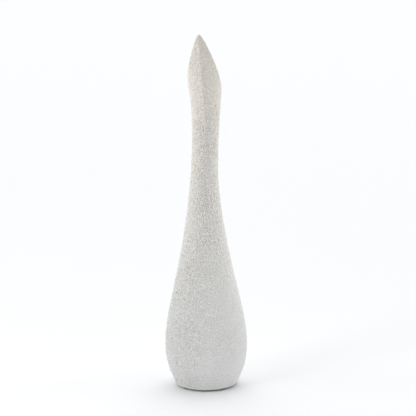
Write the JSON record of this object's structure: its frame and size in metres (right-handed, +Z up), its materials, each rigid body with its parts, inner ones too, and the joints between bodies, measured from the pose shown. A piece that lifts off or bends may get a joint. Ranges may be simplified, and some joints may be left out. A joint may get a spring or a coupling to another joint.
{
  "type": "bud vase",
  "caption": "Slender ceramic bud vase with a round belly, a narrow neck and a slanted leaf-shaped mouth that rises to a keeled point.",
  "frame": {"origin": "centre of the foot, on the surface that the vase stands on", "axes": "+Z up; -Y is the side of the keel and the tip, and +Y the side that the mouth opens to; +X to the right when the keel is seen from the front"},
  "size_m": [0.0696, 0.0696, 0.3],
  "materials": {
    "bare_stoneware": "dry, fine-grained, unglazed",
    "sandy_matt_glaze": "matt, sandy, crawled into a fine brain-coral grain",
    "gloss_liner_glaze": "smooth gloss",
    "felt": "pressed wool felt"
  },
  "bodies": {
    "root": {"stoneware_body": "bare_stoneware", "textured_glaze": "sandy_matt_glaze", "liner_glaze": "gloss_liner_glaze", "felt_pad_1": "felt", "felt_pad_2": "felt", "felt_pad_3": "felt", "felt_pad_4": "felt"}
  },
  "joints": []
}
